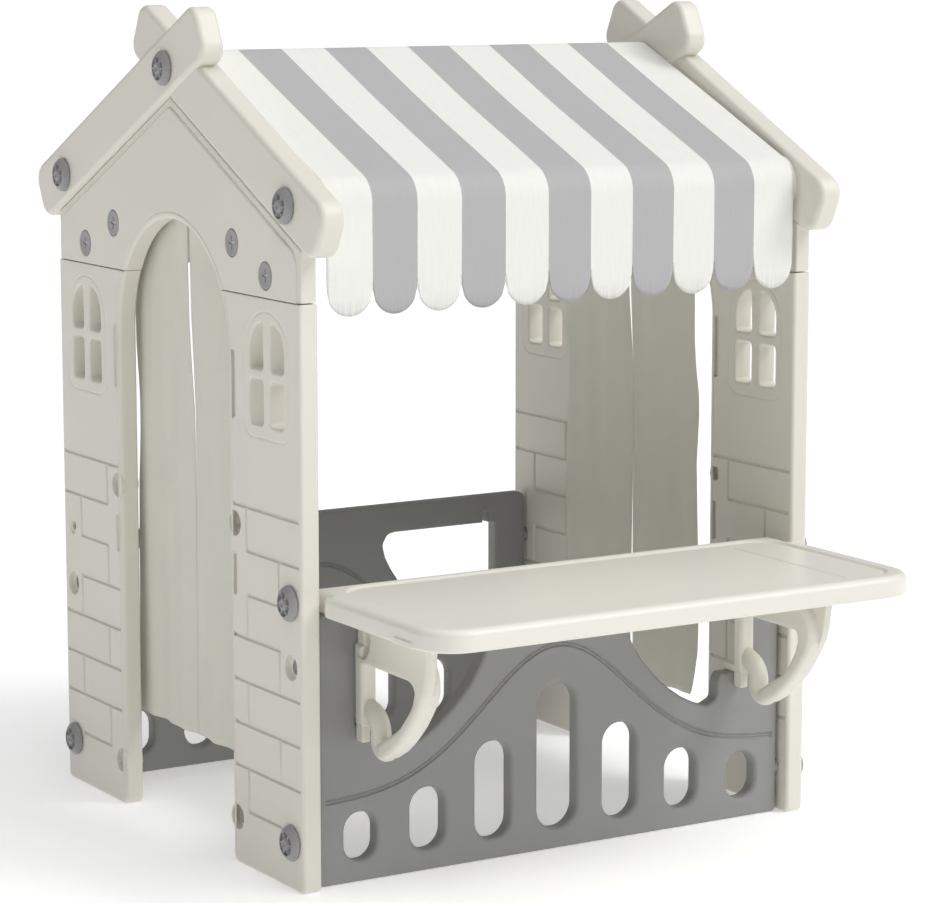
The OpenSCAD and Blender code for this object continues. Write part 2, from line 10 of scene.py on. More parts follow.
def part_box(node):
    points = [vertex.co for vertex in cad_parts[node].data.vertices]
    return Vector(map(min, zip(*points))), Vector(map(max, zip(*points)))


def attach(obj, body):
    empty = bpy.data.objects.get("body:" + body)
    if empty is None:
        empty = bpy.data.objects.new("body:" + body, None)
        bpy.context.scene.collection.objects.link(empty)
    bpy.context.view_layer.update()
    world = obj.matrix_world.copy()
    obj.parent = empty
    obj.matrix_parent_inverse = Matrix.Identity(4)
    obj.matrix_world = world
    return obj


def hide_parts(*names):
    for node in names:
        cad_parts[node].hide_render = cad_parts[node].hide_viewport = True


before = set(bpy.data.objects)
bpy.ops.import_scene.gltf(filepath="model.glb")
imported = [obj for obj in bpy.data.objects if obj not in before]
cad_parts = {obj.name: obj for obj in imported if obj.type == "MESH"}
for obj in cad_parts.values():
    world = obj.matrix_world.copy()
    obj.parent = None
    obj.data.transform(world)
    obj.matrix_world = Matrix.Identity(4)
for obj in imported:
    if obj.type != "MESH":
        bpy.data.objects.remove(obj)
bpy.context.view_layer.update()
MM = 0.001
LEFT, RIGHT, FRONT, BACK = -1, 1, -1, 1

# ---- places read from the CAD frame, in millimetres ----


def span(node, axis):
    low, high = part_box(node)
    return low[axis] / MM, high[axis] / MM


HOUSE_Y = sum(span("ridge_pole", 1)) / 2
END_X = -span("column_left_front", 0)[0]
IN_X = -span("column_left_front", 0)[1]
HALF_DEPTH = HOUSE_Y - span("column_left_front", 1)[0]
SEAM_Z = span("gable_left", 2)[0]
BOARD_OUT_X = -span("roof_board_left_back", 0)[0]
RIDGE_Z = sum(span("ridge_pole", 2)) / 2
EAVE_Y = sum(span("eave_rail_back", 1)) / 2 - HOUSE_Y
EAVE_Z = sum(span("eave_rail_back", 2)) / 2
PANEL_FACE_Y = HOUSE_Y - span("panel_front", 1)[0]
PANEL_T = span("panel_front", 1)[1] - span("panel_front", 1)[0]
PANEL_H = span("panel_front", 2)[1]
COUNTER_LOW_Z, COUNTER_Z = span("counter_top", 2)
COUNTER_FRONT_Y = HOUSE_Y - span("counter_top", 1)[0]
AWNING_X = span("awning", 0)[1]
SCALLOP_Z = span("awning", 2)[0]
HEM_Z = span("curtain_left_front", 2)[0]
ROD_X = -sum(span("curtain_rod_left", 0)) / 2
ROD_Z = sum(span("curtain_rod_left", 2)) / 2
HANG_Y = sum(span("curtain_rod_left", 1)) / 2
WALL_T = END_X - IN_X
PANEL_MID_Y = PANEL_FACE_Y - PANEL_T / 2

# ---- sizes inside the pieces, in millimetres ----

PITCH = math.radians(26)
DOOR_R, SPRING_Z = 188, 778
DOOR_LINE_R = 198.6
SEAM_GAP = 0.4
BOARD_W, BOARD_T, BOARD_CROSS_Z = 90, 40, 1201
BOARD_TAIL, BOARD_RUN, BOARD_LAP = 127, 525, 6
BOARD_LOW_Z = BOARD_CROSS_Z - BOARD_W / 2 / math.cos(PITCH)
LOW_BOLT_Z, UP_BOLT_Z, PEG_Z = 72, 431.5, 336
STRIPES = 11

# ---- 2D outlines ----


def arc(cx, cy, r, a0, a1, n):
    """Points on a circle from a0 to a1 degrees."""
    turn = np.radians(np.linspace(a0, a1, n))
    return [(cx + r * math.cos(a), cy + r * math.sin(a)) for a in turn]


def circle(cx, cy, r, n=48):
    return arc(cx, cy, r, 0, 360, n + 1)[:-1]


def fillet(corners, steps=6):
    """Rounds a closed loop's corners; a corner is (x, y) or (x, y, radius)."""
    out = []
    count = len(corners)
    for i, corner in enumerate(corners):
        p = np.array(corner[:2], float)
        r = corner[2] if len(corner) > 2 else 0
        if r <= 0:
            out.append(tuple(p))
            continue
        a = np.array(corners[i - 1][:2], float) - p
        b = np.array(corners[(i + 1) % count][:2], float) - p
        la, lb = np.linalg.norm(a), np.linalg.norm(b)
        a, b = a / la, b / lb
        half = math.acos(max(-1, min(1, float(a @ b)))) / 2
        if half > math.radians(88):
            out.append(tuple(p))
            continue
        reach = min(r / math.tan(half), 0.49 * la, 0.49 * lb)
        r = reach * math.tan(half)
        bisector = (a + b) / np.linalg.norm(a + b)
        centre = p + bisector * r / math.sin(half)
        start, end = p + a * reach - centre, p + b * reach - centre
        t0, t1 = math.atan2(start[1], start[0]), math.atan2(end[1], end[0])
        sweep = (t1 - t0 + math.pi) % (2 * math.pi) - math.pi
        for k in range(steps + 1):
            t = t0 + sweep * k / steps
            out.append((centre[0] + r * math.cos(t), centre[1] + r * math.sin(t)))
    return out


def rounded_box(x0, y0, x1, y1, r, steps=6):
    return fillet([(x0, y0, r), (x1, y0, r), (x1, y1, r), (x0, y1, r)], steps)


def signed_area(loop):
    p = np.asarray(loop, float)
    q = np.roll(p, -1, 0)
    return float((p[:, 0] * q[:, 1] - q[:, 0] * p[:, 1]).sum() / 2)


def clean(loop):
    """An anticlockwise loop with no repeated points."""
    p = [loop[0]]
    for q in loop[1:]:
        if math.dist(p[-1], q) > 0.02:
            p.append(q)
    if math.dist(p[0], p[-1]) <= 0.02:
        p.pop()
    return p if signed_area(p) > 0 else p[::-1]


def inset(loop, d, weights=None):
    """Moves every side of an anticlockwise loop inwards by d, or by d times its weight."""
    p = np.asarray(loop, float)
    e = np.roll(p, -1, 0) - p
    e /= np.linalg.norm(e, axis=1)[:, None]
    n = np.stack([-e[:, 1], e[:, 0]], 1)
    before = np.roll(n, 1, 0)
    dot = (n * before).sum(1)
    if weights is None:
        return p + (n + before) * (d / (1 + np.clip(dot, -0.6, 1)))[:, None]
    here = d * weights
    last = np.roll(here, 1)
    straight = 1 - dot**2 < 1e-3
    spread = np.where(straight, 1, 1 - dot**2)
    move = (last - dot * here)[:, None] * before + (here - dot * last)[:, None] * n
    plain = (n + before) * ((here + last) / 4)[:, None]
    return p + np.where(straight[:, None], plain, move / spread[:, None])


def ribbon(line, half):
    """A thin loop that follows an open line."""
    line = np.asarray(line, float)
    tangent = np.gradient(line, axis=0)
    tangent /= np.linalg.norm(tangent, axis=1)[:, None]
    normal = np.stack([-tangent[:, 1], tangent[:, 0]], 1)
    low, high = line - normal * half, line + normal * half
    return [tuple(p) for p in low] + [tuple(p) for p in high[::-1]]


def inside(points, loop):
    """Which points lie inside the loop."""
    x, y = points[:, 0], points[:, 1]
    p = np.asarray(loop, float)
    hit = np.zeros(len(points), bool)
    for (x0, y0), (x1, y1) in zip(p, np.roll(p, -1, 0)):
        if y0 == y1:
            continue
        crosses = (y0 > y) != (y1 > y)
        hit ^= crosses & (x < (x1 - x0) * (y - y0) / (y1 - y0) + x0)
    return hit


def merge_boxes(boxes):
    """The outline loops of axis-parallel boxes (x0, y0, x1, y1) laid over each other."""
    xs = sorted({v for b in boxes for v in (b[0], b[2])})
    ys = sorted({v for b in boxes for v in (b[1], b[3])})
    filled = {(i, j) for i in range(len(xs) - 1) for j in range(len(ys) - 1)
              if any(b[0] <= xs[i] < b[2] and b[1] <= ys[j] < b[3] for b in boxes)}
    follow = {}
    for i, j in filled:
        for (di, dj), a, b in (
            ((0, -1), (i, j), (i + 1, j)),
            ((1, 0), (i + 1, j), (i + 1, j + 1)),
            ((0, 1), (i + 1, j + 1), (i, j + 1)),
            ((-1, 0), (i, j + 1), (i, j)),
        ):
            if (i + di, j + dj) not in filled:
                follow[a] = b
    loops = []
    while follow:
        loop, at = [], next(iter(follow))
        while at in follow:
            loop.append(at)
            at = follow.pop(at)
        turns = [b for a, b, c in zip([loop[-1]] + loop, loop, loop[1:] + loop[:1])
                 if a[0] != c[0] and a[1] != c[1]]
        loops.append([(xs[i], ys[j]) for i, j in turns])
    return loops


# ---- relief plates ----


def round_edge(r, steps=5):
    """Ring stack (inset, height) of an edge rounded by r, from the side wall to the face."""
    angles = [math.pi / 2 * k / steps for k in range(steps + 1)]
    return [(r * (1 - math.cos(a)), -r * (1 - math.sin(a))) for a in angles]


def recess(depth, lip=1.5, draft=1.0, foot=1.5):
    """Ring stack of a blind recess from the face, over a rounded lip, to the floor."""
    return [(-lip, 0), (-lip * 0.45, -lip * 0.12), (-lip * 0.1, -lip * 0.55),
            (draft, -depth + foot), (draft + foot * 0.3, -depth + foot * 0.3),
            (draft + foot, -depth)]


def soft_groove(depth, half, lip=0.7):
    """Ring stack of a narrow groove that is 2 * half wide."""
    return [(-lip, 0), (-lip * 0.2, -0.08 * depth), (half * 0.16, -0.5 * depth),
            (half * 0.4, -0.9 * depth), (half * 0.75, -depth)]


class Plate:
    """Builds a plate from loops: the outline, holes right through, and relief on each face."""

    def __init__(self, outline, thick, edge, holes=(), front=(), back=(), back_edge=None,
                 tight=None):
        self.points, self.faces = [], []
        self.half = thick / 2
        self.tight = tight
        edge_back = edge if back_edge is None else back_edge
        rims = []
        for sign, features, stack in ((1, front, edge), (-1, back, edge_back)):
            self.sign = sign
            made = self.strips(clean(outline), stack, weights=self.edge_weights(outline))
            loops, side_rims = [made[-1]], [made[0][0]]
            for hole in holes:
                made = self.strips(clean(hole["loop"]), [(-d, h) for d, h in hole["edge"][::-1]])
                loops.append(made[0])
                side_rims.append(made[-1][0])
            self.fill(loops, 0, features)
            rims.append(side_rims)
        for k, (a, b) in enumerate(zip(*rims)):
            self.band(a, b, flip=k == 0)

    def add_ring(self, loop, height):
        start = len(self.points)
        w = self.sign * (self.half + height)
        self.points += [(x, y, w) for x, y in loop]
        return list(range(start, start + len(loop)))

    def band(self, a, b, flip=False):
        """Quads between two rings of the same count."""
        n = len(a)
        for i in range(n):
            j = (i + 1) % n
            quad = (a[i], a[j], b[j], b[i])
            self.faces.append(quad[::-1] if flip else quad)

    def edge_weights(self, outline):
        """Less rounding on the sides at the height named by tight, more round the doorway."""
        if self.tight is None:
            return None
        p = np.asarray(clean(outline), float)
        mid = (p + np.roll(p, -1, 0)) / 2
        from_axis = np.hypot(mid[:, 0], np.maximum(mid[:, 1] - SPRING_Z, 0))
        soft = 1 + 0.5 * np.clip((DOOR_R + 14 - np.abs(from_axis)) / 14, 0, 1)
        on_seam = np.abs(p[:, 1] - self.tight) < 1.5
        return np.where(on_seam & np.roll(on_seam, -1), 0.25, soft)

    def strips(self, loop, stack, base=0, weights=None):
        """Rings of the stack joined in order, each as its point numbers and its outline."""
        rings = []
        for d, h in stack:
            points = inset(loop, d, weights) if d else np.asarray(loop, float)
            rings.append((self.add_ring(points, base + h), points))
        for (a, _), (b, _) in zip(rings, rings[1:]):
            self.band(a, b, flip=self.sign < 0)
        return rings

    def fill(self, loops, height, features):
        """Triangulates a flat region between its border, its holes and its features."""
        rings, floors = list(loops), []
        for part in features:
            made = self.strips(clean(part["loop"]), part["stack"], height)
            rings.append(made[0])
            floors.append((made[-1], height + part["stack"][-1][1], part["inner"]))
        self.triangulate(rings, height)
        for ring, floor, inner in floors:
            self.fill([ring], floor, inner)

    def triangulate(self, rings, height):
        coords, ids, edges = [], [], []
        for ring, points in rings:
            start = len(coords)
            coords += [Vector((float(x), float(y))) for x, y in points]
            ids += ring
            n = len(ring)
            edges += [(start + i, start + (i + 1) % n) for i in range(n)]
        verts, _, tris, origin, _, _ = delaunay_2d_cdt(coords, edges, [], 0, 1e-4)
        index = []
        for v, source in zip(verts, origin):
            if source:
                index.append(ids[source[0]])
            else:
                index.append(len(self.points))
                self.points.append((v.x, v.y, self.sign * (self.half + height)))
        if not tris:
            return
        centres = np.array([[sum(verts[i][k] for i in t) / 3 for k in (0, 1)] for t in tris])
        keep = inside(centres, rings[0][1])
        for _, points in rings[1:]:
            keep &= ~inside(centres, points)
        for t, use in zip(tris, keep):
            if use and len(set(index[i] for i in t)) == 3:
                face = tuple(index[i] for i in t)
                self.faces.append(face if self.sign > 0 else face[::-1])

    def placed(self, place):
        return put((self.points, self.faces), place)


def put(shell, place):
    """A shell moved by place(u, v, w) in millimetres, with its faces turned outwards."""
    points, faces = shell
    o = np.array(place(0, 0, 0), float)
    axes = [np.array(place(*a), float) - o for a in ((1, 0, 0), (0, 1, 0), (0, 0, 1))]
    flip = np.linalg.det(np.array(axes)) < 0
    return [place(*p) for p in points], [f[::-1] for f in faces] if flip else faces


def grid_faces(rows, cols):
    """Quads of a grid with one more row and column of points, stored row by row."""
    wide = cols + 1
    return [(i * wide + j, i * wide + j + 1, (i + 1) * wide + j + 1, (i + 1) * wide + j)
            for i in range(rows) for j in range(cols)]


def ring_faces(rings, sides):
    """Quads between closed rings of points that follow each other."""
    faces = []
    for i in range(rings - 1):
        low, high = i * sides, (i + 1) * sides
        for k in range(sides):
            m = (k + 1) % sides
            faces.append((low + k, low + m, high + m, high + k))
    return faces


def join(*shells):
    points, faces = [], []
    for p, f in shells:
        shift = len(points)
        points += p
        faces += [tuple(i + shift for i in face) for face in f]
    return points, faces


def add_object(name, data):
    obj = bpy.data.objects.new(name, data)
    bpy.context.scene.collection.objects.link(obj)
    return obj


def make_object(name, shell, body, node, mat, weighted=True, sharp=55):
    """A smooth mesh object from millimetre points, riding a body in place of a CAD node."""
    points, faces = shell
    mesh = bpy.data.meshes.new(name)
    mesh.from_pydata([Vector(p) * MM for p in points], [], faces)
    mesh.validate()
    bm = bmesh.new()
    bm.from_mesh(mesh)
    bmesh.ops.delete(bm, geom=[v for v in bm.verts if not v.link_faces], context="VERTS")
    bm.to_mesh(mesh)
    bm.free()
    mesh.shade_smooth()
    if sharp:
        mesh.set_sharp_from_angle(angle=math.radians(sharp))
    obj = add_object(name, mesh)
    mesh.materials.append(mat)
    if weighted:
        mod = obj.modifiers.new("even_normals", "WEIGHTED_NORMAL")
        mod.weight = 60
        mod.keep_sharp = True
    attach(obj, body)
    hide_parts(node)
    return obj


def skin(node, slot, mat, *shells, weighted=True):
    """The moulded surface of a CAD node of the house."""
    make_object(node + "_skin", join(*shells), "house", node, mat, weighted)


def thicken(obj, thick):
    """Gives a sheet of cloth its thickness, half to each side."""
    solid = obj.modifiers.new("cloth", "SOLIDIFY")
    solid.thickness = thick * MM
    solid.offset = 0


# ---- materials ----


class Nodes:
    """Short calls for building a node material."""

    def __init__(self, name):
        self.mat = bpy.data.materials.new(name)
        self.mat.use_nodes = True
        self.tree = self.mat.node_tree
        self.shader = self.tree.nodes["Principled BSDF"]
        self.coords = self.tree.nodes.new("ShaderNodeTexCoord").outputs["Object"]

    def node(self, kind, **values):
        n = self.tree.nodes.new(kind)
        for key, value in values.items():
            setattr(n, key, value)
        return n

    def link(self, a, b):
        self.tree.links.new(a, b)

    def math(self, operation, a, b=None):
        n = self.node("ShaderNodeMath", operation=operation)
        for socket, value in zip(n.inputs, (a, b)):
            if value is None:
                continue
            if isinstance(value, (int, float)):
                socket.default_value = value
            else:
                self.link(value, socket)
        return n.outputs[0]

    def noise(self, scale, detail=3, rough=0.5, stretch=None):
        n = self.node("ShaderNodeTexNoise")
        n.inputs["Scale"].default_value = scale
        n.inputs["Detail"].default_value = detail
        n.inputs["Roughness"].default_value = rough
        source = self.coords
        if stretch:
            m = self.node("ShaderNodeMapping")
            m.inputs["Scale"].default_value = stretch
            self.link(self.coords, m.inputs["Vector"])
            source = m.outputs["Vector"]
        self.link(source, n.inputs["Vector"])
        return n.outputs["Fac"]

    def mix(self, factor, a, b):
        n = self.node("ShaderNodeMix", data_type="RGBA")
        for socket, value in zip((n.inputs[0], n.inputs[6], n.inputs[7]), (factor, a, b)):
            if isinstance(value, tuple):
                socket.default_value = (*value, 1)
            elif isinstance(value, (int, float)):
                socket.default_value = value
            else:
                self.link(value, socket)
        return n.outputs[2]

    def spread(self, fac, low, high):
        """Maps 0..1 noise to low..high."""
        n = self.node("ShaderNodeMapRange")
        for key, value in (("From Min", 0.3), ("From Max", 0.7), ("To Min", low), ("To Max", high)):
            n.inputs[key].default_value = value
        self.link(fac, n.inputs["Value"])
        return n.outputs["Result"]

    def axis(self, k):
        n = self.node("ShaderNodeSeparateXYZ")
        self.link(self.coords, n.inputs[0])
        return n.outputs[k]

    def bump(self, height, strength, distance, normal=None):
        n = self.node("ShaderNodeBump")
        n.inputs["Strength"].default_value = strength
        n.inputs["Distance"].default_value = distance
        self.link(height, n.inputs["Height"])
        if normal is not None:
            self.link(normal, n.inputs["Normal"])
        return n.outputs["Normal"]

    def set(self, **values):
        for key, value in values.items():
            socket = self.shader.inputs[key.replace("_", " ")]
            if isinstance(value, (int, float)):
                socket.default_value = value
            elif isinstance(value, tuple):
                socket.default_value = (*value, 1)
            else:
                self.link(value, socket)


def plastic(name, color, rough, grain=0.25, sway=0.12, cloudy=0.035):
    """Moulded polyethylene: faint cloudiness, a pebbled skin, a slow sway and uneven gloss."""
    m = Nodes(name)
    darker = tuple(c * (1 - cloudy) for c in color)
    cloud = m.noise(3.2, 4)
    m.set(Base_Color=m.mix(m.spread(cloud, 0, 1), darker, color))
    m.set(Roughness=m.spread(m.noise(26, 3), rough - cloudy, rough + cloudy * 1.4))
    wave = m.bump(m.noise(7, 1), sway, 0.002)
    m.set(Normal=m.bump(m.noise(900, 2, 0.6), grain, 0.00018, wave))
    m.set(Specular_IOR_Level=0.42)
    return m.mat


def metal(name, color, rough):
    """Zinc-plated steel with fine marks along X."""
    m = Nodes(name)
    brushed = m.noise(60, 4, 0.6, (1, 24, 24))
    m.set(Base_Color=m.mix(m.spread(brushed, 0, 1), tuple(c * 0.88 for c in color), color))
    m.set(Roughness=m.spread(brushed, rough - 0.06, rough + 0.08))
    m.set(Metallic=1.0, Normal=m.bump(brushed, 0.15, 0.0002))
    return m.mat


def painted(name, color, rough):
    """Powder coat on tube."""
    m = Nodes(name)
    m.set(Base_Color=m.mix(m.spread(m.noise(7, 3), 0, 1), tuple(c * 0.95 for c in color), color))
    m.set(Roughness=m.spread(m.noise(40, 3), rough - 0.04, rough + 0.05))
    m.set(Normal=m.bump(m.noise(500, 2), 0.15, 0.0002))
    return m.mat


def weave_height(m, across, along, pitch):
    """Plain weave: two crossing sets of threads, in two object axes."""
    turns = 2 * math.pi / pitch
    a = m.math("SINE", m.math("MULTIPLY", across, turns))
    b = m.math("SINE", m.math("MULTIPLY", along, turns))
    return m.math("MULTIPLY", a, b)


def cloth(name, color, rough, pitch, strength, vertical):
    """Plain woven cloth with slight upright ribs."""
    m = Nodes(name)
    m.set(Base_Color=m.mix(m.spread(m.noise(11, 4), 0, 1), tuple(c * 0.965 for c in color), color))
    slant = m.math("ADD", m.axis(0), m.axis(1))
    height = weave_height(m, slant, m.axis(2), pitch)
    fibres = m.bump(m.noise(160, 3, 0.6, (1, 1, 0.06)), vertical, 0.001)
    m.set(Normal=m.bump(height, strength, 0.0003, fibres))
    m.set(Roughness=rough, Sheen_Weight=0.25, Sheen_Roughness=0.5)
    return m.mat


# Height above the scallops' lowest edge over which painted shade darkens the cloth
HEM_SHADE_H = 26


def striped_cloth(name, white, grey, pitch):
    """Woven awning cloth with equal stripes across X, the outer ones white, and painted shade in
    dark streaks along the scallops' curled lower edge.
    """
    m = Nodes(name)
    place = m.math("DIVIDE", m.math("ADD", m.axis(0), AWNING_X * MM), 2 * AWNING_X * MM / STRIPES)
    ragged = m.math("MULTIPLY", m.math("SUBTRACT", m.noise(500, 2), 0.5), 0.02)
    part = m.math("FRACT", m.math("MULTIPLY", m.math("ADD", place, ragged), 0.5))
    is_grey = m.math("GREATER_THAN", part, 0.5)
    flecks = m.spread(m.noise(240, 3, 0.6, (1, 0.1, 0.1)), 0, 0.05)
    # Painted shade: dark streaks that grow towards the scallops' lowest edge, where the valance
    # curls inwards; the small random flecks are added to it
    above = m.math("SUBTRACT", (SCALLOP_Z + HEM_SHADE_H) * MM, m.axis(2))
    hem_shade = m.math("MULTIPLY", above, 1 / (HEM_SHADE_H * MM))
    hem_shade = m.math("MINIMUM", m.math("MAXIMUM", hem_shade, 0.0), 1.0)
    shade_streaks = m.spread(m.noise(620, 2, 0.5, (1, 0.02, 0.02)), 0, 0.30)
    flecks_and_hem_shade = m.math("ADD", flecks, m.math("MULTIPLY", hem_shade, shade_streaks))
    base = m.mix(is_grey, white, grey)
    m.set(Base_Color=m.mix(flecks_and_hem_shade, base, tuple(c * 0.4 for c in grey)))
    down = m.math("ADD", m.axis(1), m.axis(2))
    height = weave_height(m, m.axis(0), down, pitch)
    threads = m.bump(m.noise(420, 2, 0.5, (1, 0.05, 0.05)), 0.22, 0.0006)
    m.set(Normal=m.bump(height, 0.2, 0.0002, threads))
    m.set(Roughness=0.82, Sheen_Weight=0.15, Sheen_Roughness=0.5)
    return m.mat


CREAM = plastic("cream_plastic", (0.80, 0.775, 0.695), 0.40)
COUNTER = plastic("counter_plastic", (0.83, 0.81, 0.735), 0.33, grain=0.0, sway=0.01,
                  cloudy=0.012)
GREY = plastic("grey_plastic", (0.30, 0.30, 0.295), 0.42)
KNOB = plastic("knob_plastic", (0.335, 0.335, 0.34), 0.36)
STEEL = metal("bolt_steel", (0.62, 0.63, 0.65), 0.32)
PAINT = painted("pole_paint", (0.80, 0.79, 0.76), 0.35)
AWNING = striped_cloth("awning_cloth", (0.88, 0.88, 0.84), (0.47, 0.47, 0.475), 0.0011)
CURTAIN = cloth("curtain_cloth", (0.79, 0.785, 0.69), 0.85, 0.0012, 0.22, 0.15)

# ---- end walls ----


def wall_place(end, side):
    mid = (END_X + IN_X) / 2
    return lambda u, v, w: (end * (mid + w), HOUSE_Y + side * u, v)


def feature(loop, stack, *inner):
    return {"loop": loop, "stack": stack, "inner": inner}


BRICK_TOP_Z, BRICK_ROW_Z, BRICK_HALF = 555, 66.7, 3
# Where each level joint starts and ends from the top down, and the upright joint below it
BRICK_ROWS = [(200, 405), (242, 405), (243, 345), (198, 345),
              (200, 405), (200, 405), (200, 405), (241, 346)]
BRICK_JOINTS = [242, 343, 242, 344, 243, 344, 242]


def brick_features():
    boxes = []
    for k, (a, b) in enumerate(BRICK_ROWS):
        z = BRICK_TOP_Z - k * BRICK_ROW_Z
        boxes.append((a, z - BRICK_HALF, b, z + BRICK_HALF))
    for k, y in enumerate(BRICK_JOINTS):
        top = BRICK_TOP_Z - k * BRICK_ROW_Z
        boxes.append((y - BRICK_HALF, top - BRICK_ROW_Z, y + BRICK_HALF, top))
    return [feature(loop, soft_groove(3.5, BRICK_HALF)) for loop in merge_boxes(boxes)]


WINDOW_Y, PANE_W, PANE_TOP_Z = 310.5, 43, 793


def pane_holes():
    """The four panes of a window, open right through; the upper two make an arch."""
    left = WINDOW_Y - 53.5
    right = left + PANE_W
    lower = rounded_box(left, 683, right, 751, 8)
    curve = [(*p, 0) for p in arc(right, PANE_TOP_Z, PANE_W, 180, 97, 14)]
    upper = fillet(curve + [(right - 2, PANE_TOP_Z + PANE_W - 4, 3), (right, 765, 8),
                            (left, 765, 8)])
    loops = [lower, upper]
    loops += [[(2 * WINDOW_Y - y, z) for y, z in loop] for loop in loops]
    return [{"loop": loop, "edge": round_edge(3, 4)} for loop in loops]


def pane_surround():
    """A faint line pressed in round the panes, with a short break below."""
    half, low, spring = 70.5, 664, 782
    right = [(1, low)] + arc(half - 25, low + 25, 25, -90, 0, 8)
    right += [(half, z) for z in np.linspace(low + 40, spring - 15, 6)]
    line = right + arc(0, spring, half, 0, 180, 30) + [(-u, z) for u, z in right[::-1]]
    return feature(ribbon([(WINDOW_Y + u, z) for u, z in line], 1.4),
                   [(-1.6, 0), (-0.6, -0.25), (0.3, -0.6), (0.9, -0.8)])


def door_line(z0, z1, turn0, turn1, steps):
    """The fine line beside the doorway: an upright part, then part of the arch."""
    line = [(DOOR_LINE_R, z) for z in np.linspace(z0, z1, 12)] if z1 > z0 else []
    line += arc(0, SPRING_Z, DOOR_LINE_R, turn0, turn1, steps)
    return feature(ribbon(line, 0.8), [(-0.5, 0), (-0.1, -0.2), (0.3, -0.7), (0.6, -0.9)])


def slot_features():
    out = []
    for z, length in ((416, 63), (684, 102)):
        loop = rounded_box(196, z, 210, z + length, 6.9, 8)
        out.append(feature(loop, recess(4.5, 1.6, 0.7, 1.6)))
    return out


SOCKET_R, SOCKET_BORE_R = 19, 11.5
SOCKET_DEPTH, SOCKET_BORE_DEPTH = 9, 14
IN_SOCKET_Y, HIGH_SOCKET_Z = 204, 525
BOLT_SEAT_R, BOLT_BORE_R = 13, 7


def column_shell(end, side):
    seam = SEAM_Z - SEAM_GAP
    turn = math.degrees(math.asin((seam - SPRING_Z) / DOOR_R))
    outline = fillet([(DOOR_R, 0, 14), (HALF_DEPTH, 0, 10), (HALF_DEPTH, seam, 0)]
                     + [(*p, 0) for p in arc(0, SPRING_Z, DOOR_R, turn, 0, 14)])
    sockets = [(IN_SOCKET_Y, HIGH_SOCKET_Z), (PANEL_MID_Y, PEG_Z), (IN_SOCKET_Y, LOW_BOLT_Z)]
    bolts = [(PANEL_MID_Y, LOW_BOLT_Z), (PANEL_MID_Y, UP_BOLT_Z)]
    line_turn = math.degrees(math.asin((seam - 6 - SPRING_Z) / DOOR_LINE_R))
    relief = brick_features() + slot_features()
    relief += [pane_surround(), door_line(24, SPRING_Z - 8, 0, line_turn, 10)]
    sunk = [feature(circle(y, z, SOCKET_R), recess(SOCKET_DEPTH, 1.6, 0.6, 2),
                    feature(circle(y, z, SOCKET_BORE_R, 32), recess(SOCKET_BORE_DEPTH, 1, 0.3, 1)))
            for y, z in sockets]
    seats = [feature(circle(y, z, BOLT_SEAT_R, 40), recess(3, 1.4, 0.4, 1),
                     feature(circle(y, z, BOLT_BORE_R, 32), recess(18, 0.8, 0.2, 1)))
             for y, z in bolts]
    bores = [feature(circle(y, z, SOCKET_BORE_R, 40), recess(SOCKET_BORE_DEPTH, 1.4, 0.3, 1))
             for y, z in sockets]
    plate = Plate(outline, WALL_T, round_edge(6), holes=pane_holes(),
                  front=relief + sunk + seats, back=relief + bores, tight=seam)
    return plate.placed(wall_place(end, side))


def slope_z(y, drop=0):
    return BOARD_LOW_Z - drop - math.tan(PITCH) * abs(y)


def gable_outline(drop, narrow, eave_r, peak_r):
    w = HALF_DEPTH - narrow
    seam = SEAM_Z + SEAM_GAP
    turn = math.degrees(math.asin((seam - SPRING_Z) / DOOR_R))
    return fillet(
        [(w, seam, 0), (w, slope_z(w, drop), eave_r), (0, slope_z(0, drop), peak_r)]
        + [(-w, slope_z(w, drop), eave_r), (-w, seam, 0)]
        + [(*p, 0) for p in arc(0, SPRING_Z, DOOR_R, 180 - turn, turn, 40)]
    )


SCREWS = [(309, 905), (204, 945)]
REBATE, REBATE_D = 11, 3


def gable_shell(end):
    seats = [feature(circle(s * y, z, 21.2), recess(5.2, 1.5, 0.2, 0.8))
             for y, z in SCREWS for s in (-1, 1)]
    line_turn = math.degrees(math.asin((SEAM_Z + 6 - SPRING_Z) / DOOR_LINE_R))
    line = door_line(0, 0, line_turn, 180 - line_turn, 40)
    drop = REBATE / math.cos(PITCH)
    seam = SEAM_Z + SEAM_GAP
    face = Plate(gable_outline(drop, REBATE, 28, 20), WALL_T, round_edge(4.5), front=seats + [line],
                 back=[line], tight=seam)
    rim = Plate(gable_outline(0.3, 0, 4, 4), WALL_T - 2 * REBATE_D, round_edge(3), tight=seam)
    place = wall_place(end, 1)

    def shy(u, v, w):
        """Draws the rim's arch and seam in a little, so only its outer border shows."""
        near_arch = math.hypot(u, v - SPRING_Z) < DOOR_R + 4
        grow = 1.02 if near_arch else 1
        x, y, z = place(u * grow, SPRING_Z + (v - SPRING_Z) * grow if near_arch else v, w)
        return x, y, max(z, SEAM_Z + 1.6)

    return join(face.placed(place), rim.placed(shy))


def board_shell(end, side, outer):
    h = BOARD_W / 2
    outline = fillet([(-BOARD_TAIL, -h, 25), (BOARD_RUN, -h, 30), (BOARD_RUN, h, 30),
                      (-BOARD_TAIL, h, 25)], 10)
    mid = BOARD_OUT_X - (0 if outer else BOARD_LAP) - BOARD_T / 2
    c, s = math.cos(PITCH), math.sin(PITCH)

    def place(u, v, w):
        along, up = u * c + v * s, -u * s + v * c
        return end * (mid + w), HOUSE_Y + side * along, BOARD_CROSS_Z + up

    return Plate(outline, BOARD_T, round_edge(9, 6)).placed(place)


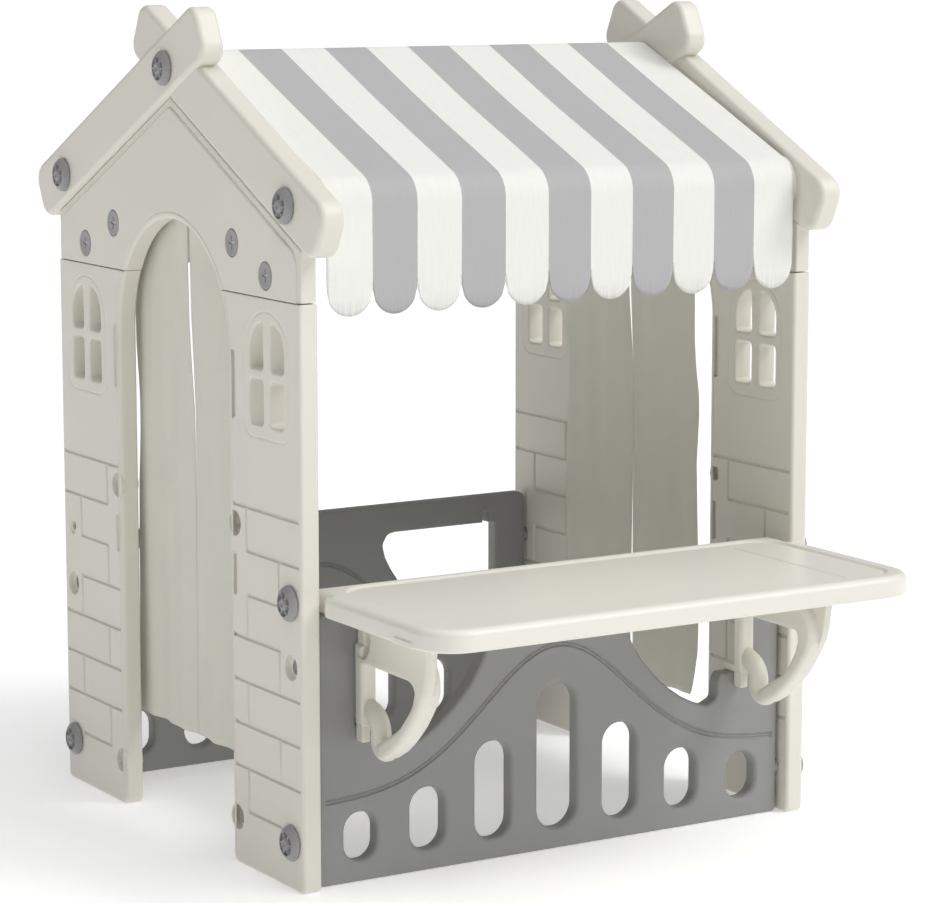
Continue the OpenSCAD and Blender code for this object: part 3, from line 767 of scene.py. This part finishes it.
def build_end(end, name):
    for side, where in ((FRONT, "front"), (BACK, "back")):
        skin(f"column_{name}_{where}", "cream_plastic", CREAM, column_shell(end, side))
        skin(f"roof_board_{name}_{where}", "cream_plastic", CREAM,
             board_shell(end, side, outer=side == -end))
    skin(f"gable_{name}", "cream_plastic", CREAM, gable_shell(end))


build_end(LEFT, "left")
build_end(RIGHT, "right")

# ---- panels ----

VENTS = [(0, 71, 262), (116, 62, 184), (232, 59, 128), (348, 54, 106)]
VENT_LOW_Z = 32
PANEL_GAP, WAVE_REACH = 6, 408
BOSS_X, PEG_X = 415, 427
# Corners (distance from the middle, height, radius) of the opening beside each bracket
DIP = [(151, 365, 8), (331, 365, 2), (331, 386, 3), (342, 386, 3), (342, 365, 2), (356, 365, 6),
       (356, 240, 3), (309, 240, 7), (302, 226, 12), (301, 200, 12), (280, 190.5, 12),
       (257, 199, 30), (233, 211, 30), (211, 226, 30), (195, 239, 30), (176, 257, 30),
       (157, 279, 30), (141, 303, 30), (131, 323, 20), (126, 345, 14), (136, 362, 12)]


def wave_z(x):
    """Height of the wave line: a hill in the middle that runs out flat."""
    return 127 + 196 * math.exp(-((x / 185) ** 2))


def panel_shell(side):
    half = IN_X - PANEL_GAP
    outline = fillet([(-half, 0, 8), (half, 0, 8), (half, PANEL_H, 12), (-half, PANEL_H, 12)])
    rim = round_edge(8, 5)
    holes = []
    for x, width, top in VENTS:
        for s in (-1, 1) if x else (1,):
            loop = rounded_box(s * x - width / 2, VENT_LOW_Z, s * x + width / 2, top,
                               width / 2 - 0.1, 14)
            holes.append({"loop": loop, "edge": rim})
    for s in (-1, 1):
        holes.append({"loop": fillet([(s * x, z, r) for x, z, r in DIP]), "edge": round_edge(5, 4)})
    wave = [(x, wave_z(x)) for x in np.linspace(-WAVE_REACH, WAVE_REACH, 97)]
    line = [feature(ribbon(wave, 4.5), [(-0.8, 0), (-0.1, -0.4), (0.5, -1.8), (1.4, -2.9),
                                        (2.6, -3.0), (3.4, -2.4), (4.1, -1.5)])]
    plate = Plate(outline, PANEL_T, round_edge(6), holes=holes, front=line, back=line)
    mid = PANEL_MID_Y
    return plate.placed(lambda u, v, w: (u, HOUSE_Y + side * (mid + w), v))


def disc_shell(r, thick, edge, place, n=40):
    return Plate(circle(0, 0, r, n), thick, round_edge(edge, 3)).placed(place)


def along_x(x, y, z):
    return lambda u, v, w: (x + w, y + u, z + v)


def panel_bosses(side):
    """The bolt bosses and pegs at a panel's ends, which reach over to the columns."""
    shells = []
    for s in (-1, 1):
        y = HOUSE_Y + side * PANEL_MID_Y
        shells.append(disc_shell(13, 20, 1.5, along_x(s * BOSS_X, y, LOW_BOLT_Z)))
        shells.append(disc_shell(11.7, 40, 2.5, along_x(s * PEG_X, y, PEG_Z)))
    return shells


for side, where in ((FRONT, "front"), (BACK, "back")):
    skin(f"panel_{where}", "grey_plastic", GREY, panel_shell(side), *panel_bosses(side))

# ---- counter ----


def counter_shell():
    """The serving counter: a wide tray, and a narrower tongue that goes in between the columns."""
    half, tongue, shoulder_y, back_y = 427, 415, 424, 366
    right = [(half, -COUNTER_FRONT_Y, 64), (half, -shoulder_y, 15), (tongue, -shoulder_y, 3),
             (tongue, -back_y, 10)]
    outline = fillet(right + [(-x, y, r) for x, y, r in right[::-1]], 14)
    line = feature(rounded_box(308, -700, 314, -410, 2.9, 4), soft_groove(1.6, 3))
    tray = feature(rounded_box(-386, -718, 400, -385, 50, 14),
                   [(-5, 0), (-2.2, -0.4), (-0.8, -1.4), (0.6, -3.1), (2.2, -4.3), (4, -4.4),
                    (5.8, -3.7), (8.2, -2.9), (12, -2.7)], line)
    thick = COUNTER_Z - COUNTER_LOW_Z
    plate = Plate(outline, thick, round_edge(12, 7), front=[tray], back_edge=round_edge(5, 5))
    mid = (COUNTER_Z + COUNTER_LOW_Z) / 2
    shell = plate.placed(lambda u, v, w: (u, HOUSE_Y + v, mid + w))
    bosses = [disc_shell(13, 14, 1.5, along_x(s * 418, HOUSE_Y - PANEL_MID_Y, UP_BOLT_Z))
              for s in (-1, 1)]
    clip = Plate(rounded_box(-680, -4, -628, 5, 3), 8, round_edge(1.5, 3)).placed(
        lambda u, v, w: (-425.5 + w, HOUSE_Y + u, COUNTER_LOW_Z + 5 + v))
    return join(shell, clip, *bosses)


make_object("counter_skin", counter_shell(), "house", "counter_top", COUNTER)

# ---- brackets ----

# Corners (distance out from the house's middle, height, radius) of the arm's outlines
ARM_LOW = [(456, 200, 6), (480, 206.5, 20), (506, 221, 30), (527, 237, 30), (543, 252, 30),
           (558, 267, 30), (573, 286, 30)]
ARM_CURL = [(586, 304, 25), (593, 321, 20), (594, 338, 20), (590, 355, 20), (580, 369, 20),
            (560, 380, 20), (538, 389, 20), (512, 398, 20), (486, 407, 20), (470, 414.7, 5)]
ARM_WEB = [(585, 304, 20), (599, 327, 20), (606, 352, 20), (610, 378, 20), (611.7, 414.7, 2)]
ARM_BACK = [(438, 414.7, 3), (438, 375, 12), (434, 362, 10), (426, 352, 10), (415, 347, 8),
            (400, 346, 2), (400, 337, 2)]
ARM_INNER = [(546, 336, 12), (557, 333, 9), (564, 327, 9), (567, 319, 9), (565, 310, 12),
             (558, 301, 16), (543, 284, 30), (524, 264, 30), (511, 255, 20), (497, 247, 20),
             (482, 239, 12), (462, 227, 5)]
CURL_INNER = [(538, 335.5, 12), (550, 336, 8), (557, 332, 8), (558, 320, 10), (552, 302, 20),
              (540, 283, 30)] + ARM_INNER[7:]
WEB_T, ARM_T = 16, 34
LEG = (-15, 11)
BRACKET_X = 344
TUBE_R = 15.5


def tube_path():
    """The arm's lower end: out from the leg, down, and round into the ring."""
    return ([(407, 265.5), (410, 265.3)] + arc(413, 234.5, 30.5, 88, 0, 14)
            + arc(459.5, 229, 16, 180, 300, 12) + [(475, 218.5), (484, 223.5)])


def tube_shell(sides=28):
    """The arm's rolled lower end: a tube along its path, thick at the leg and thin at the ring."""
    path = np.array(tube_path(), float)
    ahead = np.gradient(path, axis=0)
    ahead /= np.linalg.norm(ahead, axis=1)[:, None]
    points = []
    run = np.r_[0, np.cumsum(np.linalg.norm(np.diff(path, axis=0), axis=1))]
    for (u, v), (du, dv), s in zip(path, ahead, run):
        tall = TUBE_R + 5 * math.exp(-((s / 9) ** 2)) - 3 * max(0, s - 80) / 25
        wide = np.interp(s, (0, 16, 70, 95), (11, 14.5, 15.5, 16.5))
        shift = np.interp(s, (0, 16, 70, 95), (0, -1.5, -1.2, 0))
        for k in range(sides):
            a = 2 * math.pi * k / sides
            r = tall * math.cos(a)
            points.append((u - dv * r, v + du * r, shift + wide * math.sin(a)))
    last = (len(path) - 1) * sides
    ends = [tuple(range(sides))[::-1], tuple(range(last, last + sides))]
    return points, ring_faces(len(path), sides) + ends


def bracket_shell(side):
    """A web under the counter, an inner plate that curls over, a leg, a tube and two hooks."""
    def at(dx, turn=1):
        return lambda u, v, w: (side * BRACKET_X + turn * (dx + w), HOUSE_Y - u, v)

    leg_w, leg_mid = LEG[1] - LEG[0], sum(LEG) / 2
    hand = -1 if side > 0 else 1
    face = fillet(ARM_LOW + ARM_WEB + ARM_BACK + ARM_INNER, 5)
    ring = inset(clean(fillet(ARM_LOW + ARM_CURL + ARM_BACK + CURL_INNER, 5)), 0.15)
    soft = round_edge(9, 6)
    web = Plate(face, WEB_T, soft, back_edge=round_edge(2.5, 3))
    curl = Plate(ring, ARM_T - 8, round_edge(1, 2), back_edge=soft)
    back = PANEL_FACE_Y + 0.3
    leg = rounded_box(back, 242, 415, 365, 3)
    neck = rounded_box(back, 360, 414.5, 414.8, 2)
    foot = rounded_box(back, 217, 413, 246, 4)
    low_hook = rounded_box(366, 240.2, 396, 252, 2)
    high_hook = rounded_box(366, 340, 396, 385, 2)
    parts = [
        (leg, leg_w, round_edge(6, 4), leg_mid),
        (neck, leg_w - 10, round_edge(4, 3), leg_mid),
        (foot, 14, round_edge(3, 3), LEG[0] + 9),
        (low_hook, 24, round_edge(2, 3), hand * 2),
        (high_hook, 10, round_edge(2, 3), hand * 7.5),
    ]
    shells = [Plate(loop, thick, edge).placed(at(dx)) for loop, thick, edge, dx in parts]
    return join(web.placed(at((ARM_T - WEB_T) / 2, side)), curl.placed(at(-4, side)),
                put(tube_shell(), at(0, side)), *shells)


for side, where in ((LEFT, "left"), (RIGHT, "right")):
    skin(f"bracket_{where}", "cream_plastic", CREAM, bracket_shell(side))

# ---- knobs and screws ----

KNOB_SPOKES = 6
POCKET_IN_R, POCKET_OUT_R, POCKET_DEPTH, POCKET_WALL = 9.2, 18.0, 4.2, 1.1
GRIP_R, GRIP_DEPTH = 20.6, 0.035
# Radius and height of a knob's rings
KNOB_HUB = [(1.8, 12.6), (3.2, 13.6), (4.6, 14.6), (6.2, 14.9), (7.4, 14.5), (8.2, 13.6),
            (8.6, 12.6), (9.2, 12.1)]
KNOB_WEB = [(r, 12.0) for r in (9.8, 10.4, 11.6, 13.0, 14.4, 15.6, 16.8, 17.4, 18.0)]
KNOB_RIM = [(18.6, 11.9), (19.4, 11.6), (20.6, 10.9), (22.0, 10.0), (23.6, 8.7), (25.0, 7.3),
            (26.0, 5.9), (26.7, 4.4), (26.9, 3.0), (26.7, 1.8), (26.1, 0.9), (24.8, 0.4)]
KNOB_BACK = [(20.0, 0.3), (12.0, 0.3)]


def ramp(value):
    return min(1.0, max(0.0, value))


def pocket(a, r):
    """How deep the knob's face is sunk at angle a and radius r: pockets between the spokes."""
    across = abs(math.sin(KNOB_SPOKES * a / 2)) * r * 2 / KNOB_SPOKES
    side = ramp((across - 1.0) / POCKET_WALL)
    ends = min(ramp((r - POCKET_IN_R) / POCKET_WALL), ramp((POCKET_OUT_R - r) / POCKET_WALL))
    return POCKET_DEPTH * side * ends


def knob_shell(out, x, y, z):
    """A round hand knob standing out along out * X: hub, spokes with pockets, a domed rim."""
    rings = KNOB_HUB + KNOB_WEB + KNOB_RIM + KNOB_BACK
    back = len(rings) - len(KNOB_BACK)
    n = 144
    points = []
    for i, (radius, height) in enumerate(rings):
        for k in range(n):
            a = 2 * math.pi * k / n
            notch = (0.5 + 0.5 * math.cos(2 * KNOB_SPOKES * a)) ** 6
            r = radius * (1 - ramp((radius - GRIP_R) / 4) * GRIP_DEPTH * notch)
            sunk = pocket(a, radius) if i < back else 0
            points.append((r * math.cos(a), r * math.sin(a), height - sunk))
    faces = [quad[::-1] for quad in ring_faces(len(rings), n)]
    top = len(points)
    points += [(0, 0, 12.3), (0, 0, 0.3)]
    last = (len(rings) - 1) * n
    for k in range(n):
        m = (k + 1) % n
        faces.append((top, k, m))
        faces.append((last + m, last + k, top + 1))
    return put((points, faces), lambda u, v, w: (x + out * w, y + u, z + v))


def knob_group(name, places, end):
    shells = [knob_shell(end, x, HOUSE_Y + y, z) for x, y, z in places]
    skin(name, "knob_plastic", KNOB, *shells, weighted=False)


def cross_loop(size, half):
    """A plus-shaped loop."""
    a, b = size, half
    corners = [(b, b), (b, a), (-b, a), (-b, b), (-a, b), (-a, -b), (-b, -b), (-b, -a), (b, -a),
               (b, -b), (a, -b), (a, b)]
    return fillet([(x, y, 1.2) for x, y in corners], 3)


def screw_shell(end, y, z):
    """A cross-head gable screw: a flat head with a sunk ring and cross, on a plain shank."""
    head = Plate(circle(0, 0, 20.5, 56), 5, round_edge(1.6, 4),
                 front=[feature(circle(0, 0, 14.5, 48), [(-0.5, 0), (0, -0.3), (0.6, -0.5)],
                                feature(cross_loop(9.5, 1.7), recess(2.6, 0.6, 0.4, 0.6)))])
    turn = math.radians(4 if y > 0 else -3)
    c, s = math.cos(turn), math.sin(turn)

    def place(u, v, w):
        return end * (END_X - 2.5 + w), HOUSE_Y + y + u * c - v * s, z + u * s + v * c

    def shank_place(u, v, w):
        return end * (END_X - 14.5 + w), HOUSE_Y + y + u, z + v

    return join(head.placed(place), disc_shell(5.7, 21, 0.6, shank_place, 24))


for end, where in ((LEFT, "left"), (RIGHT, "right")):
    wall = [(end * END_X, -PANEL_MID_Y, LOW_BOLT_Z), (end * END_X, -PANEL_MID_Y, UP_BOLT_Z),
            (end * END_X, PANEL_MID_Y, LOW_BOLT_Z)]
    knob_group(f"wall_knobs_{where}", wall, end)
    outer, inner = end * BOARD_OUT_X, end * (BOARD_OUT_X - BOARD_LAP)
    roof = [(outer, 0, RIDGE_Z), (outer, -end * EAVE_Y, EAVE_Z), (inner, end * EAVE_Y, EAVE_Z)]
    knob_group(f"roof_knobs_{where}", roof, end)
    screws = [screw_shell(end, s * y, z) for y, z in SCREWS for s in (-1, 1)]
    skin(f"gable_screws_{where}", "knob_plastic", KNOB, *screws)

# ---- awning ----

RIDGE_R, EAVE_R, CLOTH_T = 24.6, 44.0, 1.6
AWNING_SAG = 2.6
STRIPE_COLS, VALANCE_STEPS = 16, 22
STRIPE_W = 2 * AWNING_X / STRIPES
SCALLOP_R = STRIPE_W / 2 - 0.6
# The valance is one cloth above this height and parted between the stripes below it
PARTED_Z = SCALLOP_Z + SCALLOP_R + 14
CURL_H = 60


def awning_profile():
    """Half the cross section as (distance from the middle, height), ridge to valance."""
    run = math.hypot(EAVE_Y, RIDGE_Z - EAVE_Z)
    tilt = math.atan2(RIDGE_Z - EAVE_Z, EAVE_Y) - math.asin((EAVE_R - RIDGE_R) / run)
    top = 90 - math.degrees(tilt)
    ridge = arc(0, RIDGE_Z, RIDGE_R + CLOTH_T / 2, 90, top, 6)
    bend = arc(EAVE_Y, EAVE_Z, EAVE_R + CLOTH_T / 2, top, 0, 16)
    a, b = np.array(ridge[-1]), np.array(bend[0])
    slope = [tuple(a + (b - a) * t) for t in np.linspace(0, 1, 26)[1:-1]]
    return ridge + slope + bend


def roof_points(rows, xs):
    """The cloth over the ridge, row by row, with a slight sag between its supports."""
    points = []
    for y, z in rows:
        hollow = math.sin(math.pi * min(1, abs(y) / EAVE_Y)) ** 2
        for x in xs:
            points.append((x, HOUSE_Y + y, z - AWNING_SAG * (1 - (x / AWNING_X) ** 2) * hollow))
    return points


def valance_point(x, middle, top, side, share):
    """A point of the scallop round x = middle, at a share of the way from top (y, z) to the hem."""
    y, high = top
    inner = middle + (x - middle) * SCALLOP_R / (STRIPE_W / 2)
    low = SCALLOP_Z + SCALLOP_R - math.sqrt(max(0, SCALLOP_R**2 - (inner - middle) ** 2))
    z = high + (low - high) * share
    narrow = min(1, max(0, (PARTED_Z - z) / 6))
    curl = 0.4 + 0.4 * max(0, (SCALLOP_Z + CURL_H - z) / CURL_H) ** 2
    ripple = 0.6 * math.sin(x / 52 + side) + 0.4 * math.sin(x / 19 + 2 * side)
    return x + (inner - x) * narrow, HOUSE_Y + y + (ripple - side * curl) * share, z


def add_valance(points, faces, xs, top_ids, top, side):
    """Hangs the scallops from the row of points top_ids, which lies at top (y, z)."""
    shared = {}
    for k in range(STRIPES):
        first = k * STRIPE_COLS
        middle = -AWNING_X + k * STRIPE_W + STRIPE_W / 2
        above = top_ids[first : first + STRIPE_COLS + 1]
        for step in range(1, VALANCE_STEPS + 1):
            row = []
            for j in range(first, first + STRIPE_COLS + 1):
                point = valance_point(xs[j], middle, top, side, step / VALANCE_STEPS)
                if point[2] > PARTED_Z and (j, step) in shared:
                    row.append(shared[j, step])
                    continue
                row.append(len(points))
                shared[j, step] = len(points)
                points.append(point)
            for j in range(STRIPE_COLS):
                quad = (above[j], row[j], row[j + 1], above[j + 1])
                faces.append(quad if side == FRONT else quad[::-1])
            above = row


def build_awning():
    half = awning_profile()
    rows = [(-y, z) for y, z in half[::-1]] + half[1:]
    xs = np.linspace(-AWNING_X, AWNING_X, STRIPES * STRIPE_COLS + 1)
    points = roof_points(rows, xs)
    faces = grid_faces(len(rows) - 1, len(xs) - 1)
    ids = list(range(len(points)))
    add_valance(points, faces, xs, ids[: len(xs)], rows[0], FRONT)
    add_valance(points, faces, xs, ids[-len(xs) :], rows[-1], BACK)
    obj = make_object("awning_cloth", (points, faces), "house", "awning", AWNING,
                      weighted=False, sharp=None)
    thicken(obj, 1.1)
    slope = 2 * sum(math.dist(a, b) for a, b in zip(half, half[1:]))


build_awning()

# ---- curtains ----

# Height and drift towards the back of the line where the two halves part
PARTING = [(147, -10), (400, -12), (600, -15), (666, -14), (743, -7), (805, -2), (900, 0), (980, 0)]
# Height and reach of each half's outer edge from the middle of the rod
EDGES = {
    FRONT: [(147, 188), (152, 192), (182, 201), (224, 211), (269, 212), (350, 209), (450, 204),
            (536, 201), (578, 204), (619, 207), (652, 206), (693, 199), (742, 194), (815, 193),
            (980, 193)],
    BACK: [(147, 190), (170, 192), (300, 191), (410, 190), (527, 187), (610, 179), (660, 179),
           (687, 182), (714, 187), (750, 192), (800, 193.5), (980, 193.5)],
}
# Height and half the gap between the two halves
SLIT = [(147, 1.2), (420, 0.6), (640, 0.55), (700, 1.0), (760, 1.9), (980, 1.9)]
SLEEVE_R, CURTAIN_W = 9.6, 210


def curtain_grid(end, side, cols, rows):
    """Rows of points from the hem up to the sleeve; the cloth hangs in shallow upright folds."""
    top = ROD_Z - SLEEVE_R
    phase = 1.3 * end + 0.9 * side
    points = []
    for i in range(rows + 1):
        z = HEM_Z + 1 + (top - HEM_Z - 1) * i / rows
        low = 1 - i / rows
        drift = float(np.interp(z, *zip(*PARTING)))
        start = float(np.interp(z, *zip(*SLIT))) + side * drift
        reach = float(np.interp(z, *zip(*EDGES[side]))) - 0.5
        for j in range(cols + 1):
            u = start + (reach - start) * j / cols
            fold = 3.2 * math.sin(u / 21 + phase + z / 900) + 1.8 * math.sin(u / 9.5 - z / 300)
            depth = fold * (0.3 + 0.6 * low) + 0.9 * math.sin(z / 120 + u / 60 + phase) * low
            points.append((end * (ROD_X + depth), HANG_Y + side * u, z))
    return points


def build_curtain(end, side, name):
    """One half of a doorway's curtain: the hanging cloth, and its sleeve round the rod."""
    cols, rows, ring = 44, 90, 20
    points = curtain_grid(end, side, cols, rows)
    wide = cols + 1
    faces = grid_faces(rows, cols)
    first = len(points)
    for j in range(wide):
        y = points[rows * wide + j][1]
        for k in range(1, ring):
            a = -math.pi / 2 + 2 * math.pi * k / ring
            r = SLEEVE_R + 0.25 * math.sin(j * 1.7)
            points.append((end * ROD_X + r * math.cos(a), y, ROD_Z + r * math.sin(a)))
    columns = [[rows * wide + j] + [first + j * (ring - 1) + k for k in range(ring - 1)]
               for j in range(wide)]
    for a, b in zip(columns, columns[1:]):
        for k in range(ring):
            m = (k + 1) % ring
            faces.append((a[k], b[k], b[m], a[m]))
    body = f"curtain_{name}"
    obj = make_object(f"{body}_cloth", (points, faces), body, body, CURTAIN,
                      weighted=False, sharp=None)
    thicken(obj, 0.9)


for end, a in ((LEFT, "left"), (RIGHT, "right")):
    for side, b in ((FRONT, "front"), (BACK, "back")):
        build_curtain(end, side, f"{a}_{b}")

# ---- CAD pieces that keep their own shape ----


def finish_nodes(mat, bevel, *names):
    """Gives CAD nodes a material, and eases their edges by bevel millimetres."""
    for name in names:
        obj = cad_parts[name]
        obj.data.materials.clear()
        obj.data.materials.append(mat)
        if bevel:
            mod = obj.modifiers.new("eased_edges", "BEVEL")
            mod.width = bevel * MM
            mod.segments = 3
            mod.limit_method = "ANGLE"
            mod.angle_limit = math.radians(40)


finish_nodes(PAINT, 0, "ridge_pole", "eave_rail_front", "eave_rail_back", "curtain_rod_left",
             "curtain_rod_right")
finish_nodes(CREAM, 0, "pole_end_plugs")
finish_nodes(CREAM, 1.2, "rod_holders_left", "rod_holders_right")
finish_nodes(STEEL, 0, "knob_bolts_left", "knob_bolts_right", "thread_inserts")

# ---- studio ----


def build_floor():
    mesh = bpy.data.meshes.new("floor")
    half = 90
    corners = [(-half, -half, 0), (half, -half, 0), (half, half, 0), (-half, half, 0)]
    mesh.from_pydata(corners, [], [(0, 1, 2, 3)])
    m = Nodes("floor_paint")
    m.set(Base_Color=m.mix(m.spread(m.noise(0.6, 2), 0, 1), (0.92, 0.92, 0.92), (0.94, 0.94, 0.94)))
    m.set(Roughness=0.9, Emission_Color=(1.0, 1.0, 1.0), Emission_Strength=0.28)
    mesh.materials.append(m.mat)
    add_object("floor", mesh)


def add_light(kind, name, power, place, target):
    light = bpy.data.lights.new(name, kind)
    light.energy = power
    obj = add_object(name, light)
    obj.location = place
    obj.rotation_euler = (Vector(target) - Vector(place)).to_track_quat("-Z", "Y").to_euler()
    return light


def build_light():
    world = bpy.data.worlds.new("studio")
    bpy.context.scene.world = world
    world.use_nodes = True
    background = world.node_tree.nodes["Background"]
    background.inputs["Color"].default_value = (1, 1, 1, 1)
    background.inputs["Strength"].default_value = 0.23
    middle = Vector((0, HOUSE_Y * MM, 0.6))
    add_light("SUN", "overhead", 1.45, middle + Vector((0.4, -1, 4)), middle).angle = 1.22
    add_light("SUN", "right", 1.0, middle + Vector((3.3, -3.3, 4)), middle).angle = 0.42
    soft = add_light("AREA", "front", 26, (1.4, -5.4, 3.4), middle)
    soft.shape = "DISK"
    soft.size = 3.2


# Where the camera stands from the house's middle, in metres, and its heading and downward tilt
CAMERA_AT = (-2.6747, -4.5139, 1.3848)
CAMERA_HEADING, CAMERA_DOWN = 58.5097, 8.8423
CAMERA_LENS = 124.206


def build_camera():
    camera = bpy.data.cameras.new("camera")
    camera.sensor_width = 36
    camera.lens = CAMERA_LENS
    camera.clip_end = 200
    obj = add_object("camera", camera)
    obj.location = Vector(CAMERA_AT) + Vector((0, HOUSE_Y * MM, 0))
    obj.rotation_euler = (math.radians(90 - CAMERA_DOWN), 0, math.radians(CAMERA_HEADING - 90))
    bpy.context.scene.camera = obj


build_floor()
build_light()
build_camera()
bpy.context.scene.view_settings.view_transform = "Standard"
